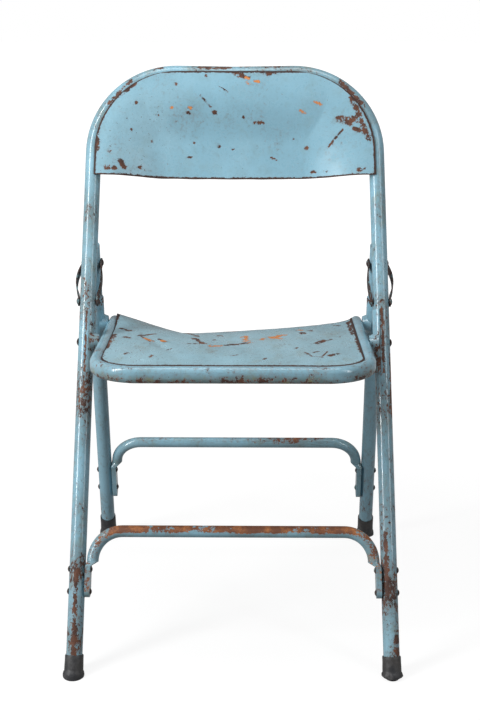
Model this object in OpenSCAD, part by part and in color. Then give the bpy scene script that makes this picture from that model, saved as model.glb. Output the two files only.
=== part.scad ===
// Folding chair of bent steel tube with a pressed steel seat and back.
// The front legs and the hoop over the back panel are one bent tube. The seat hangs on two
// pivots between its legs, and bowed strap links carry the tops of the rear legs.
// X runs across the chair, Y from front to back and Z up. The floor is Z = 0.

/* [Front frame] */
// Width over the two front legs at the floor
frame_w = 450; // [400:5:540]
// Height of the hoop's top above the floor
frame_h = 792; // [730:2:950]
// Lean of the front frame back from upright, degrees
frame_lean = 21; // [18:0.5:24]
// Angle at which each leg closes in towards the hoop, degrees
splay = 0.96; // [0.1:0.02:1.6]
// Outer diameter of the leg tubes
tube_d = 22; // [19:0.5:26]
// Wall of the leg tubes
tube_wall = 1.5; // [1:0.1:2.5]
// Centre line radius of the hoop's two corners
hoop_r = 117; // [80:1:150]

/* [Rear legs] */
// Distance between the front and rear feet at the floor
foot_depth = 455; // [430:1:560]
// Lean of the rear legs forward from upright, degrees
rear_lean = 22.4; // [20:0.1:26]
// Clearance between a rear leg's top end and the front leg before it
leg_top_gap = 3.2; // [1:0.1:20]

/* [Fold] */
// Distance of the seat's pivot up the front leg from the floor
seat_pivot_s = 449; // [370:1:545]
// Distance of the links' lower pivot above the seat's pivot
link_pivot_rise = 57.3; // [50:0.1:70]
// Distance of the links' upper pivot below the rear leg's top end
leg_top_drop = 30.6; // [20:0.1:60]
// Height of the seat's rear pivots above its front pivots, square to the seat
seat_rear_rise = 0.4; // [-4:0.1:4]
// Diameter of the pivot rivets
pivot_d = 7; // [5:0.1:9]
// Clearance round a rivet that something turns on
pivot_gap = 0.1; // [0.05:0.05:0.3]
// Clearance between faces that slide past each other
side_gap = 0.3; // [0.2:0.05:0.6]

/* [Links] */
// Width of a strap link
link_w = 14; // [12:0.5:18]
// Thickness of a strap link
link_t = 2; // [1.5:0.1:3]
// Depth of the bow of an inner strap link
link_bow_in = 2.8; // [1:0.1:3]
// Depth of the bow of an outer strap link
link_bow_out = 6; // [2:0.1:8]

/* [Seat] */
// Distance of the seat's pivot behind its front edge
seat_pivot_back = 177; // [160:1:215]
// Length of the side rails past the rear pivots
rail_over = 18.8; // [14:0.1:60]
// Slope of the seat down to the back, degrees
seat_slope = 3.2; // [0:0.1:8]
// Radius of the seat's front corners in plan
seat_corner_r = 68; // [35:1:90]
// Width of the seat's rolled rim in plan
rim_w = 16; // [13:0.5:26]
// Height of the seat's rolled rim
rim_h = 22; // [18:0.5:38]
// Rounding of the rim's edges
rim_r = 7.5; // [5:0.5:8]
// Distance of the rim's middle below the seat's pivots
rim_drop = 2.5; // [0:0.1:5]
// Wall of the rolled rim
rim_wall = 1.5; // [1:0.1:2]
// Depth of the seat sheet below the top of the rim
pan_drop = 2.5; // [1:0.5:6]
// Thickness of the seat sheet and the back panel
sheet_t = 1.2; // [0.8:0.1:2]
// Sag of the seat sheet's rear edge where it is pushed down
pan_sag = 26; // [0:1:32]
// Lift of the seat sheet's torn rear corner
flap_lift = 5.5; // [5.5:0.5:16]
// Distance by which the torn corner lies out over the rim
flap_out = 4; // [0:0.5:4.5]

/* [Back panel] */
// Height of the back panel along the frame, without its dip
panel_h = 162; // [120:1:200]
// Depth of the panel's hollow at its lower edge
panel_hollow = 32; // [10:1:40]
// Dip of the lower edge at the centre
panel_dip = 1; // [0:0.5:10]

/* [Crossbars] */
// Diameter of the crossbar tubes
bar_d = 16; // [13:0.5:18]
// Distance of the front crossbar up the front leg from the floor
front_bar_s = 190.5; // [120:0.5:240]
// Distance of the rear crossbar up the rear leg from the floor
rear_bar_s = 205; // [180:0.5:240]
// Centre line radius of a crossbar's bends
bar_bend_r = 40; // [24:1:50]
// Length of the front crossbar's flattened ends below the bend
front_tab_len = 47.5; // [40:0.5:60]
// Length of the rear crossbar's flattened ends below the bend
rear_tab_len = 75; // [55:1:95]
// Thickness of a crossbar's flattened end
bar_tab_t = 7; // [4:0.1:8]
// Diameter of the crossbar rivets
bar_rivet_d = 5; // [4:0.1:7]

/* [Brackets] */
// Wall of the half sleeves that carry the seat's pivots
sleeve_t = 1.5; // [1:0.1:2]
// Length of a half sleeve
sleeve_len = 88; // [60:1:100]
// Distance of the sleeve's upper end above its pivot
sleeve_rise = 46; // [30:0.5:48]
// Radius of the boss round a pivot, where it meets the seat
boss_r = 10; // [8:0.5:12]
// Height of the boss above the half sleeve
boss_h = 5.5; // [4:0.1:9]

/* [Feet] */
// Height of a front leg's rubber cap above the floor, along its tube
front_cap_h = 28; // [20:1:40]
// Height of a rear leg's rubber cap above the floor, along its tube
rear_cap_h = 40; // [24:1:50]
// Wall of a rubber cap
cap_t = 1.6; // [1.2:0.1:3]
// Width by which a cap's rim stands out
cap_flare = 2; // [1:0.1:4]
// Height of a cap's rim
cap_rim_h = 7; // [4:0.5:12]
// Height of the front right cap above the floor, where its plug has worked out
plug_show = 4; // [2:0.5:7]

/* [Hidden] */
$fn = 64;

paint_colour = [0.55, 0.70, 0.77];
seat_colour = [0.56, 0.72, 0.80];
rust_colour = [0.48, 0.32, 0.24];
rubber_colour = [0.20, 0.21, 0.24];
steel_colour = [0.42, 0.40, 0.37];

eps = 0.01;
tube_r = tube_d / 2;
leg_x = frame_w / 2 - tube_r; // the leg's centre line at the floor
rim_corner_r = min(rim_r, rim_w / 2 - 0.5, rim_h / 2 - 0.5); // the rounding of the rim's section
link_pivot_s = seat_pivot_s + link_pivot_rise;

// A rear leg ends short of the front leg before it, which it nears as it rises
rear_leg_len = tenth((foot_depth * cos(frame_lean) - tube_r - leg_top_gap
    - tube_r * cos(frame_lean + rear_lean)) / (cos(splay) * sin(frame_lean + rear_lean)));
leg_top_s = rear_leg_len - leg_top_drop;

// Sizes at which two pieces meet face to face are kept to whole hundredths
function tidy(v) = round(v * 100) / 100;
function tenth(v) = round(v * 10) / 10;

// The half width between the inner faces of two legs at a distance up the leg
function leg_inner(s) = leg_x - s * tan(splay) - tube_r / cos(splay);

// A point on a front leg's or a rear leg's centre line, as [y, z]
function front_at(s) = [s * cos(splay) * sin(frame_lean), s * cos(splay) * cos(frame_lean)];
function rear_at(s) = [
    foot_depth - s * cos(splay) * sin(rear_lean), s * cos(splay) * cos(rear_lean)
];

seat_pivot = front_at(seat_pivot_s);

// The seat's rear pivot lies where the rear leg passes the side rail
seat_rear_s = tenth((seat_rear_rise + seat_pivot[1] * cos(seat_slope)
    - (foot_depth - seat_pivot[0]) * sin(seat_slope)) / (cos(splay) * cos(rear_lean + seat_slope)));
link_pivot = front_at(link_pivot_s);
leg_top_pivot = rear_at(leg_top_s);
seat_rear_pivot = rear_at(seat_rear_s);

boss_face = tidy(leg_inner(seat_pivot_s) - sleeve_t - boss_h); // half width between the bosses
seat_half = boss_face - side_gap;

// The chair reaches from the seat's front edge to the rear caps' rims, and its origin is midway
seat_front_y = seat_pivot[0] - seat_pivot_back * cos(seat_slope)
    - (rim_h / 2 - rim_corner_r + rim_drop) * sin(seat_slope);
cap_back_y = foot_depth + (tube_r + 0.1 + cap_t + cap_flare) / cos(rear_lean);
shift_y = -(seat_front_y + cap_back_y) / 2;

link_span = norm(leg_top_pivot - link_pivot);
link_angle = atan2(leg_top_pivot[1] - link_pivot[1], leg_top_pivot[0] - link_pivot[0]);
link_in_face = leg_inner(leg_top_s) - side_gap; // the inner straps' faces towards the legs
link_out_face = leg_inner(link_pivot_s) + tube_d + 2 * side_gap; // the outer straps' faces
head_h = 2.4; // a pivot rivet's domed heads
head_r = 5.5;
press_gap = 0.02; // added to the hole of a rivet that is clinched tight
rivet_grip = 3; // length of a seat rivet inside the rim

hoop_s = tidy((frame_h - tube_r) / cos(frame_lean)); // height of the hoop's top tube in its plane
leg_run = tidy((hoop_s + hoop_r * sin(splay)) / cos(splay) - hoop_r); // the straight part
corner_s = leg_run * cos(splay) - hoop_r * sin(splay);
corner_x = leg_x - leg_run * sin(splay) - hoop_r * cos(splay);

// ---- Frames of reference ----

// The front frame's plane: X across, Z up the frame and Y square to its back
module in_front() {
    translate([0, shift_y, 0]) rotate([-frame_lean, 0, 0]) children();
}

// The rear legs' plane
module in_rear() {
    translate([0, foot_depth + shift_y, 0]) rotate([rear_lean, 0, 0]) children();
}

// A leg's own axis: Z runs up the tube and +X points away from the chair
module on_leg() {
    translate([leg_x, 0, 0]) rotate([0, -splay, 0]) children();
}

// The seat: X across, Y to its back and Z square to the sheet, from the seat's pivots
module in_seat() {
    translate([0, seat_pivot[0] + shift_y, seat_pivot[1]]) rotate([-seat_slope, 0, 0]) children();
}

// A pivot's own place, with X along its rivet
module at_pivot(p) {
    translate([0, p[0] + shift_y, p[1]]) children();
}

module left_side() {
    mirror([1, 0, 0]) children();
}

module both_sides() {
    children();
    mirror([1, 0, 0]) children();
}

// ---- Repeated shapes ----

module rod_x(x0, x1, d) {
    translate([x0, 0, 0]) rotate([0, 90, 0]) cylinder(h = x1 - x0, d = d);
}

// A domed rivet head that stands on x and points along +X (dir 1) or -X (dir -1)
module head_x(x, dir, r = head_r, h = head_h) {
    ball_r = (r * r + h * h) / (2 * h);
    translate([x, 0, 0]) rotate([0, 90 * dir, 0]) intersection() {
        translate([0, 0, h - ball_r]) sphere(r = ball_r);
        cylinder(h = h + 1, r = r);
    }
}

module rivet_x(x0, x1, d, r = head_r, h = head_h) {
    rod_x(x0 - eps, x1 + eps, d);
    head_x(x1, 1, r, h);
    head_x(x0, -1, r, h);
}

// Everything inside the front frame's tube line, with the tube's radius r: each half is a
// leg, a corner and half of the top, which meets the other half a little below its corner
module hoop_solid(r) {
    both_sides() intersection() {
        on_leg() {
            cylinder(h = leg_run, r = r);
            translate([-hoop_r, 0, leg_run]) rotate([90, 0, 0])
                rotate_extrude(angle = 90) translate([hoop_r, 0]) circle(r = r);
            translate([-frame_w, 0, leg_run + hoop_r]) rotate([0, 90, 0])
                cylinder(h = frame_w - hoop_r, r = r);
        }
        translate([0, -tube_d, -tube_d]) cube([frame_w, 2 * tube_d, 2 * frame_h]);
    }
}

// The space below a plane at height z, for feet cut level with the floor
module below(z) {
    translate([-frame_w, -2 * foot_depth, z - 60]) cube([2 * frame_w, 4 * foot_depth, 60]);
}

// ---- Front frame ----

tube_end_s = 7; // where the tubes end, inside their caps

module front_frame() {
    color(paint_colour) difference() {
        in_front() difference() {
            hoop_solid(tube_r);
            hoop_solid(tube_r - tube_wall);
            both_sides() on_leg() translate([0, 0, -1])
                cylinder(h = tube_end_s + 1, r = tube_r + 1);
            both_sides() on_leg() bar_rivet_places(front_bar_s, front_tab)
                rod_x(-2 * tube_r, 2 * tube_r, bar_rivet_d + 0.2);
        }
        for (p = [seat_pivot, link_pivot])
            at_pivot(p) rod_x(-frame_w, frame_w, pivot_d + 2 * pivot_gap);
    }
}

// The panel's outline follows the tube's centre line
panel_top = hoop_s;
panel_bottom = hoop_s + tube_r - panel_h;
panel_rows = 22;
panel_columns = 26;
panel_flat = tube_r + 1; // width of the flat border that lies on the tube
panel_seat = -tube_r - 0.15; // the sheet's back face on the front of the tube
panel_inset = 2.5; // the sheet's sides stop inside the tube's centre line

function panel_half(s) = s < corner_s + hoop_r * sin(splay)
    ? leg_x - panel_inset - s * tan(splay)
    : corner_x - panel_inset
        + sqrt(max(0, hoop_r * hoop_r - (s - corner_s) * (s - corner_s)));
function ease(t) = let (c = min(1, max(0, t))) c * c * (3 - 2 * c);
function panel_edge(x, s) = min(panel_half(s) - abs(x), panel_top - s);
function panel_y(x, s) =
    let (w = panel_half(s), low = (panel_top - s) / (panel_top - panel_bottom))
    panel_hollow * ease((panel_edge(x, s) - panel_flat) / 90)
        * pow(low, 0.8) * (1 - 0.35 * pow(x / w, 2));
function panel_row(j) = panel_top - (panel_top - panel_bottom) * pow(j / panel_rows, 1.25);
function panel_point(i, j, back) =
    let (s = panel_row(j), t = 2 * i / panel_columns - 1, x = t * panel_half(s),
         dip = panel_dip * (1 - t * t) * pow(j / panel_rows, 4))
    [x, panel_seat + panel_y(x, s) - (back ? 0 : sheet_t), s - dip];

// A sheet between two grids of points, from its front grid and its back grid
module sheet(columns, rows, points) {
    across = columns + 1;
    layer = across * (rows + 1);
    quads = [
        for (j = [0:rows - 1]) for (i = [0:columns - 1]) [
            j * across + i, j * across + i + 1, (j + 1) * across + i + 1, (j + 1) * across + i
        ]
    ];
    rim = concat(
        [for (i = [0:columns]) i],
        [for (j = [1:rows]) j * across + columns],
        [for (i = [columns - 1:-1:0]) rows * across + i],
        [for (j = [rows - 1:-1:1]) j * across]
    );
    front = [for (q = quads) each [[q[0], q[1], q[2]], [q[0], q[2], q[3]]]];
    back = [
        for (q = quads) each [
            [q[2] + layer, q[1] + layer, q[0] + layer],
            [q[3] + layer, q[2] + layer, q[0] + layer]
        ]
    ];
    edge = [
        for (k = [0:len(rim) - 1]) let (a = rim[k], b = rim[(k + 1) % len(rim)])
            each [[b, a, a + layer], [b, a + layer, b + layer]]
    ];
    polyhedron(points = points, faces = concat(front, back, edge));
}

module back_panel() {
    color(seat_colour) in_front() sheet(panel_columns, panel_rows, [
        for (back = [false, true]) for (j = [0:panel_rows]) for (i = [0:panel_columns])
            panel_point(i, j, back)
    ]);
}

// ---- Crossbars ----

bar_r = bar_d / 2;
bar_tab_w = tidy(1.35 * bar_d);
bar_tab_face = -tube_r - 0.1; // the flattened end's face towards the leg, in the leg's axis
bar_head_r = 4.5;
bar_blend = 5; // length over which the round tube is pressed flat

// A flattened end: its length, then how far its rivets sit from its upper and its lower end
front_tab = [front_tab_len, 5.5, 7.5];
rear_tab = [rear_tab_len, 14.5, 17];

function bar_tab_top(bar_s) = bar_s - bar_bend_r - bar_blend;
function bar_tab_foot(bar_s, tab) = bar_s - bar_bend_r - tab[0];

// The two rivet places in a flattened end, on the leg's own axis
module bar_rivet_places(bar_s, tab) {
    for (s = [bar_tab_top(bar_s) - tab[1], bar_tab_foot(bar_s, tab) + tab[2]])
        translate([0, 0, s]) children();
}

// A crossbar's flattened end, drawn in the leg's own axis and rounded at its foot
module bar_tab(bar_s, tab) {
    top = bar_tab_top(bar_s);
    foot = bar_tab_foot(bar_s, tab);
    translate([bar_tab_face - bar_tab_t, 0, 0]) rotate([90, 0, 90]) linear_extrude(bar_tab_t) {
        translate([0, foot + bar_tab_w / 2]) circle(d = bar_tab_w);
        translate([-bar_tab_w / 2, foot + bar_tab_w / 2])
            square([bar_tab_w, top - foot - bar_tab_w / 2]);
    }
}

// One half of a crossbar, from the middle to the flattened end on the leg at +X
module bar_half(bar_s, tab) {
    bend_x = tidy(leg_x - bar_s * tan(splay) - tube_r - bar_r - bar_bend_r - 0.6);
    low_s = bar_s - bar_bend_r;
    inset = 0.1; // keeps the blend's ends just inside the tube and the flattened end
    translate([0, 0, bar_s]) rotate([0, 90, 0]) cylinder(h = bend_x, r = bar_r);
    translate([bend_x, 0, low_s]) rotate([90, 0, 0])
        rotate_extrude(angle = 90) translate([bar_bend_r, 0]) circle(r = bar_r);
    hull() {
        translate([bend_x + bar_bend_r, 0, low_s - 0.5])
            cylinder(h = 0.5, r = bar_r - inset, $fn = 32);
        on_leg()
            translate([
                bar_tab_face - bar_tab_t + inset, inset - bar_tab_w / 2, bar_tab_top(bar_s) - 1
            ])
                cube([bar_tab_t - 2 * inset, bar_tab_w - 2 * inset, 0.5]);
    }
    on_leg() bar_tab(bar_s, tab);
}

module bar(bar_s, tab) {
    both_sides() difference() {
        bar_half(bar_s, tab);
        on_leg() bar_rivet_places(bar_s, tab) rod_x(-2 * tube_d, 0, bar_rivet_d + 0.2);
    }
}

module bar_rivets(bar_s, tab) {
    both_sides() on_leg() bar_rivet_places(bar_s, tab)
        rivet_x(bar_tab_face - bar_tab_t, tube_r, bar_rivet_d, bar_head_r, head_h);
}

module front_crossbar() {
    color(rust_colour) in_front() bar(front_bar_s, front_tab);
}

module front_crossbar_rivets() {
    color(steel_colour) in_front() bar_rivets(front_bar_s, front_tab);
}

module rear_crossbar() {
    color(paint_colour) in_rear() bar(rear_bar_s, rear_tab);
}

module rear_crossbar_rivets() {
    color(steel_colour) in_rear() bar_rivets(rear_bar_s, rear_tab);
}

// ---- Brackets: a half sleeve round the inner side of a leg, with a boss at the pivot ----

sleeve_cover = 72; // how far the sleeve reaches round towards the other pair of legs, degrees

module half_sleeve(pivot_s, near_side) {
    low = pivot_s + sleeve_rise - sleeve_len;
    turn = near_side ? 180 - sleeve_cover : 90;
    translate([0, 0, low]) rotate([0, 0, turn]) rotate_extrude(angle = 90 + sleeve_cover)
        translate([tube_r + 0.1, 0]) square([sleeve_t, sleeve_len]);
}

module boss(face_x, axis_x) {
    out = axis_x - tube_r - sleeve_t / 2;
    translate([face_x, 0, 0]) rotate([0, 90, 0])
        cylinder(h = out - face_x + 6, r1 = boss_r, r2 = boss_r + 5);
}

module front_bracket() {
    axis_x = leg_x - seat_pivot_s * tan(splay);
    color(paint_colour) difference() {
        union() {
            in_front() on_leg() half_sleeve(seat_pivot_s, false);
            difference() {
                at_pivot(seat_pivot) boss(boss_face, axis_x);
                in_front() on_leg() cylinder(h = hoop_s, r = tube_r + 0.1 + sleeve_t / 2);
            }
        }
        at_pivot(seat_pivot) rod_x(0, frame_w, pivot_d + 2 * pivot_gap);
    }
}

module rear_bracket() {
    axis_x = leg_x - seat_rear_s * tan(splay);
    color(paint_colour) difference() {
        union() {
            in_rear() on_leg() half_sleeve(seat_rear_s, true);
            difference() {
                at_pivot(seat_rear_pivot) boss(boss_face, axis_x);
                in_rear() on_leg() cylinder(h = hoop_s, r = tube_r + 0.1 + sleeve_t / 2);
            }
        }
        at_pivot(seat_rear_pivot) rod_x(0, frame_w, pivot_d + press_gap);
    }
}

module front_bracket_left() {
    left_side() front_bracket();
}

module front_bracket_right() {
    front_bracket();
}

module rear_bracket_left() {
    left_side() rear_bracket();
}

module rear_bracket_right() {
    rear_bracket();
}

// ---- Rear legs ----

module rear_leg() {
    color(paint_colour) difference() {
        in_rear() difference() {
            on_leg() difference() {
                translate([0, 0, tube_end_s])
                    cylinder(h = rear_leg_len - tube_end_s, r = tube_r);
                translate([0, 0, tube_end_s - 1])
                    cylinder(h = rear_leg_len, r = tube_r - tube_wall);
                bar_rivet_places(rear_bar_s, rear_tab) rod_x(-2 * tube_r, 2 * tube_r, bar_rivet_d + 0.2);
            }
        }
        at_pivot(leg_top_pivot) rod_x(0, frame_w, pivot_d + 2 * pivot_gap);
        at_pivot(seat_rear_pivot) rod_x(0, frame_w, pivot_d + press_gap);
    }
}

module rear_leg_left() {
    left_side() rear_leg();
}

module rear_leg_right() {
    rear_leg();
}

// ---- Strap links ----

// The strap seen on edge: flat eyes at both ends and a bowed middle, bulging along +X
module strap_edge(bow) {
    eye = link_w / 2;
    half = link_span / 2 - eye;
    arc_r = (half * half + bow * bow) / (2 * bow);
    for (y = [-eye, link_span - eye]) translate([0, y]) square([link_t, 2 * eye]);
    intersection() {
        translate([0, eye - 0.5]) square([bow + link_t, 2 * half + 1]);
        translate([bow - arc_r, link_span / 2]) difference() {
            circle(r = arc_r + link_t, $fn = 180);
            circle(r = arc_r, $fn = 180);
        }
    }
}

// A strap from the lower pivot at the origin to the upper pivot along +Y
module strap(bow) {
    difference() {
        intersection() {
            translate([0, 0, -link_w / 2]) linear_extrude(link_w) strap_edge(bow);
            rotate([0, 90, 0]) linear_extrude(bow + link_t) union() {
                circle(d = link_w);
                translate([0, link_span]) circle(d = link_w);
                translate([-link_w / 2, 0]) square([link_w, link_span]);
            }
        }
        for (y = [0, link_span])
            translate([0, y, 0]) rod_x(-1, bow + link_t + 1, pivot_d + 2 * pivot_gap);
    }
}

module link_outer() {
    color(steel_colour) at_pivot(link_pivot) rotate([link_angle, 0, 0])
        translate([link_out_face, 0, 0]) strap(link_bow_out);
}

module link_inner() {
    color(steel_colour) at_pivot(link_pivot) rotate([link_angle, 0, 0])
        translate([link_in_face, 0, 0]) mirror([1, 0, 0]) strap(link_bow_in);
}

module link_outer_left() {
    left_side() link_outer();
}

module link_outer_right() {
    link_outer();
}

module link_inner_left() {
    left_side() link_inner();
}

module link_inner_right() {
    link_inner();
}

// ---- Pivot rivets ----

module link_rivet(p) {
    both_sides() at_pivot(p)
        rivet_x(link_in_face - link_t, link_out_face + link_t, pivot_d);
}

module link_pivot_rivets() {
    color(steel_colour) link_rivet(link_pivot);
}

module leg_top_rivets() {
    color(steel_colour) link_rivet(leg_top_pivot);
}

// The seat's rivets are held in the rim's outer wall and turn in the front legs
module seat_pivot_rivets() {
    outer = leg_inner(seat_pivot_s) + tube_d + side_gap;
    color(steel_colour) both_sides() at_pivot(seat_pivot) {
        rod_x(seat_half - rim_wall - rivet_grip, outer + eps, pivot_d);
        head_x(outer, 1);
    }
}

// These stop level with the bosses, clear of the seat
module seat_rear_rivets() {
    outer = leg_inner(seat_rear_s) + tube_d;
    color(steel_colour) both_sides() at_pivot(seat_rear_pivot) {
        rod_x(boss_face, outer + eps, pivot_d);
        head_x(outer, 1);
    }
}

// ---- Seat ----

rim_front = -seat_pivot_back;
rim_back = tenth((seat_rear_pivot[0] - seat_pivot[0]) * cos(seat_slope)
    - (seat_rear_pivot[1] - seat_pivot[1]) * sin(seat_slope)) + rail_over;
rim_mid = seat_half - rim_w / 2; // the side rails' middle
rim_corner_y = rim_front + seat_corner_r;
rim_corner_x = seat_half - seat_corner_r;
rim_end_y = rim_back - rim_w / 2;

// The rim's rounded section, centred, smaller by inset all round
module rim_section(inset) {
    w = rim_w - 2 * inset;
    h = rim_h - 2 * inset;
    r = rim_corner_r - inset;
    square([w - 2 * r, h], center = true);
    square([w, h - 2 * r], center = true);
    for (x = [-1, 1]) for (y = [-1, 1])
        translate([x * (w / 2 - r), y * (h / 2 - r)]) circle(r = r);
}

module rim_solid(inset) {
    both_sides() {
        translate([rim_mid, rim_end_y, 0]) rotate([90, 0, 0])
            linear_extrude(rim_end_y - rim_corner_y) rim_section(inset);
        translate([rim_corner_x, rim_corner_y, 0]) rotate([0, 0, -90])
            rotate_extrude(angle = 90) translate([rim_mid - rim_corner_x, 0]) rim_section(inset);
        translate([rim_mid, rim_end_y, 0]) rotate_extrude(angle = 180) intersection() {
            rim_section(inset);
            translate([0, -rim_h]) square([rim_w, 2 * rim_h]);
        }
    }
    translate([-rim_corner_x, rim_front + rim_w / 2, 0]) rotate([90, 0, 90])
        linear_extrude(2 * rim_corner_x) rim_section(inset);
}

module seat_rim() {
    color(seat_colour) difference() {
        in_seat() translate([0, 0, -rim_drop]) difference() {
            rim_solid(0);
            rim_solid(rim_wall);
        }
        at_pivot(seat_pivot) both_sides() rod_x(seat_half - rim_w / 2, frame_w, pivot_d + press_gap);
    }
}

pan_columns = 28;
pan_rows = 26;
// How far the sheet's edge reaches over the rim's rounded inner corner, less a gap of 0.2
pan_fall = max(0, rim_corner_r - pan_drop - sheet_t);
pan_reach = rim_corner_r - sqrt(rim_corner_r * rim_corner_r - pan_fall * pan_fall) - 0.2;
pan_half = seat_half - rim_w + pan_reach;
pan_corner_r = seat_corner_r - rim_w + pan_reach;
pan_front = rim_front + rim_w - pan_reach;
pan_back = rim_back - 6;
pan_top = rim_h / 2 - rim_drop - pan_drop;
valley_w = 93; // from where the sheet starts to fall to the bottom of its valley
valley_drift = 0.37; // how fast the valley moves to the right, going forward
flap_y = 78; // how far forward of the rear edge the torn corner reaches

function pan_half_at(y) = let (d = pan_front + pan_corner_r - y)
    d > 0 ? pan_half - pan_corner_r + sqrt(max(0, pan_corner_r * pan_corner_r - d * d)) : pan_half;
function pan_corner(x, y) = max(0, 1 - (x + pan_half) / valley_w - (pan_back - y) / flap_y);
function pan_z(x, y) =
    let (start = -pan_half + valley_drift * (pan_back - y),
         bottom = start + valley_w,
         across = x < bottom
             ? (x - start) / valley_w
             : sqrt(max(0, pan_half - x) / (pan_half - bottom)),
         along = (y - pan_front) / (pan_back - pan_front))
    -pan_sag * max(0, across) * pow(max(0, along), 2.2) + flap_lift * pan_corner(x, y);
function pan_row(j) = pan_front + (pan_back - pan_front) * (0.35 * j / pan_rows
    + 0.65 * pow(j / pan_rows, 1.6));
function pan_point(i, j, under) =
    let (y = pan_row(j), x = (2 * i / pan_columns - 1) * pan_half_at(y))
    [x - flap_out * pan_corner(x, y), y, pan_top + pan_z(x, y) - (under ? sheet_t : 0)];

module seat_pan() {
    color(seat_colour) in_seat() sheet(pan_columns, pan_rows, [
        for (under = [true, false]) for (j = [0:pan_rows]) for (i = [0:pan_columns])
            pan_point(i, j, under)
    ]);
}

// ---- Rubber caps ----

// A cap on a tube's end, before it is cut level
module cap(height) {
    outer = tube_r + 0.1 + cap_t;
    difference() {
        union() {
            translate([0, 0, -tube_r]) cylinder(h = tube_r + height, r = outer);
            translate([0, 0, -tube_r]) cylinder(h = tube_r + cap_rim_h, r = outer + cap_flare);
        }
        translate([0, 0, tube_end_s]) cylinder(h = height, r = tube_r + 0.1);
    }
}

module front_cap(level) {
    color(rubber_colour) difference() {
        in_front() on_leg() cap(front_cap_h);
        below(level);
    }
}

module rear_cap() {
    color(rubber_colour) difference() {
        in_rear() on_leg() cap(rear_cap_h);
        below(0);
    }
}

module front_cap_left() {
    left_side() front_cap(0);
}

module front_cap_right() {
    front_cap(plug_show);
}

module rear_cap_left() {
    left_side() rear_cap();
}

module rear_cap_right() {
    rear_cap();
}

// The plug that shows under the front right cap and stands on the floor
module foot_plug() {
    color("black") difference() {
        in_front() on_leg() translate([0, 0, -tube_r]) cylinder(h = 2 * tube_r, r = tube_r - tube_wall - side_gap);
        below(0);
        translate([-frame_w, -2 * foot_depth, plug_show])
            cube([2 * frame_w, 4 * foot_depth, 60]);
    }
}

front_frame();
back_panel();
front_crossbar();
front_crossbar_rivets();
front_bracket_left();
front_bracket_right();
link_pivot_rivets();
front_cap_left();
front_cap_right();
foot_plug();
seat_rim();
seat_pan();
seat_pivot_rivets();
link_inner_left();
link_inner_right();
link_outer_left();
link_outer_right();
leg_top_rivets();
rear_leg_left();
rear_leg_right();
rear_crossbar();
rear_crossbar_rivets();
rear_bracket_left();
rear_bracket_right();
seat_rear_rivets();
rear_cap_left();
rear_cap_right();
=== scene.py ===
import math

import bmesh
import bpy
import numpy as np
from mathutils import Matrix, Vector, noise


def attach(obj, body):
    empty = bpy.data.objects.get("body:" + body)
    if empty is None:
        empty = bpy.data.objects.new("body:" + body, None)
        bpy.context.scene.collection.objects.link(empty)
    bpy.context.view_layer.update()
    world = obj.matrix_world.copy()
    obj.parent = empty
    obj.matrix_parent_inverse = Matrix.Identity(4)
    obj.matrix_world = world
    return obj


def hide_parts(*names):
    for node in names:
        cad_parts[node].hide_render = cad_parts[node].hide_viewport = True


# A folding steel chair in chipped, rust-stained light blue paint.
# Sizes are in millimetres where a name says nothing else, and MM turns them into metres.

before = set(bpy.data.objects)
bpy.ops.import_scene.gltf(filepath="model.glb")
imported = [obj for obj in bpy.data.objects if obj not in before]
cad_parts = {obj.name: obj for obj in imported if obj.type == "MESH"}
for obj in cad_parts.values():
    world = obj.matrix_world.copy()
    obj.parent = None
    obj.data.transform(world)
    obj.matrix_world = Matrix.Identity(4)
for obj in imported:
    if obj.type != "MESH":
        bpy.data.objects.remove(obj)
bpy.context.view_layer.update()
MM = 0.001

# ---- Sizes shared with the chair's construction ----

LEAN = math.radians(21)         # the front frame leans back
REAR_LEAN = math.radians(22.4)  # the rear legs lean forward
SPLAY = math.radians(0.96)      # each leg's tilt inwards
SEAT_SLOPE = math.radians(3.2)
SHIFT_Y = -227.363              # the front feet's place along Y
FOOT_DEPTH = 455                # from the front feet to the rear feet
TUBE_R = 11
LEG_X = 214                     # from the middle to a foot's centre
FRONT_PIVOT_S = 449             # the seat's pivot, along the front leg
SHEET_T = 1.2
JOIN_GAP = 0.15                 # between a sheet and the tube it lies on

HOOP_R = 117
HOOP_TOP_S = 836.57
HOOP_RUN_S = (HOOP_TOP_S + HOOP_R * math.sin(SPLAY)) / math.cos(SPLAY) - HOOP_R
CORNER_S = HOOP_RUN_S * math.cos(SPLAY) - HOOP_R * math.sin(SPLAY)
CORNER_X = LEG_X - HOOP_RUN_S * math.sin(SPLAY) - HOOP_R * math.cos(SPLAY)

PANEL_HEIGHT = 162
PANEL_BOTTOM_S = HOOP_TOP_S + TUBE_R - PANEL_HEIGHT
PANEL_HOLLOW = 32                # how deep the sheet is pressed in at its lower middle
PANEL_HOLLOW_RUN = 90            # from the edge to the hollow's full depth
PANEL_HOLLOW_FADE = 0.35         # how much shallower it is towards the sides
PANEL_DIP = 1                    # the lower edge hangs lower at its middle
PANEL_INSET = 2.5                # the sheet's sides stop inside the tube's centre line
PANEL_SEAT_Y = -TUBE_R - JOIN_GAP

PAN_HALF = 173.0
PAN_CORNER_R = 52.83
PAN_FRONT = -161.83
PAN_BACK = 137.0
PAN_TOP = 6.0
PAN_SAG = 26                     # how far the rear edge is pushed down
PAN_SAG_POWER = 2.2              # how sharply it falls towards the rear
PAN_CREASE = 2.4                 # how deep the crease beside the torn corner is
VALLEY_W = 93                    # from where the sheet starts to fall to its valley's bottom
VALLEY_ROUND = 0.06              # the valley's bottom is rounded off over VALLEY_ROUND_W
VALLEY_ROUND_W = 14
VALLEY_DRIFT = 0.37              # how fast the valley moves to the right, going forward
FLAP_LIFT = 5.5                  # the torn rear corner lies up and out over the rim
FLAP_OUT = 4
FLAP_DEPTH = 78

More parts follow.
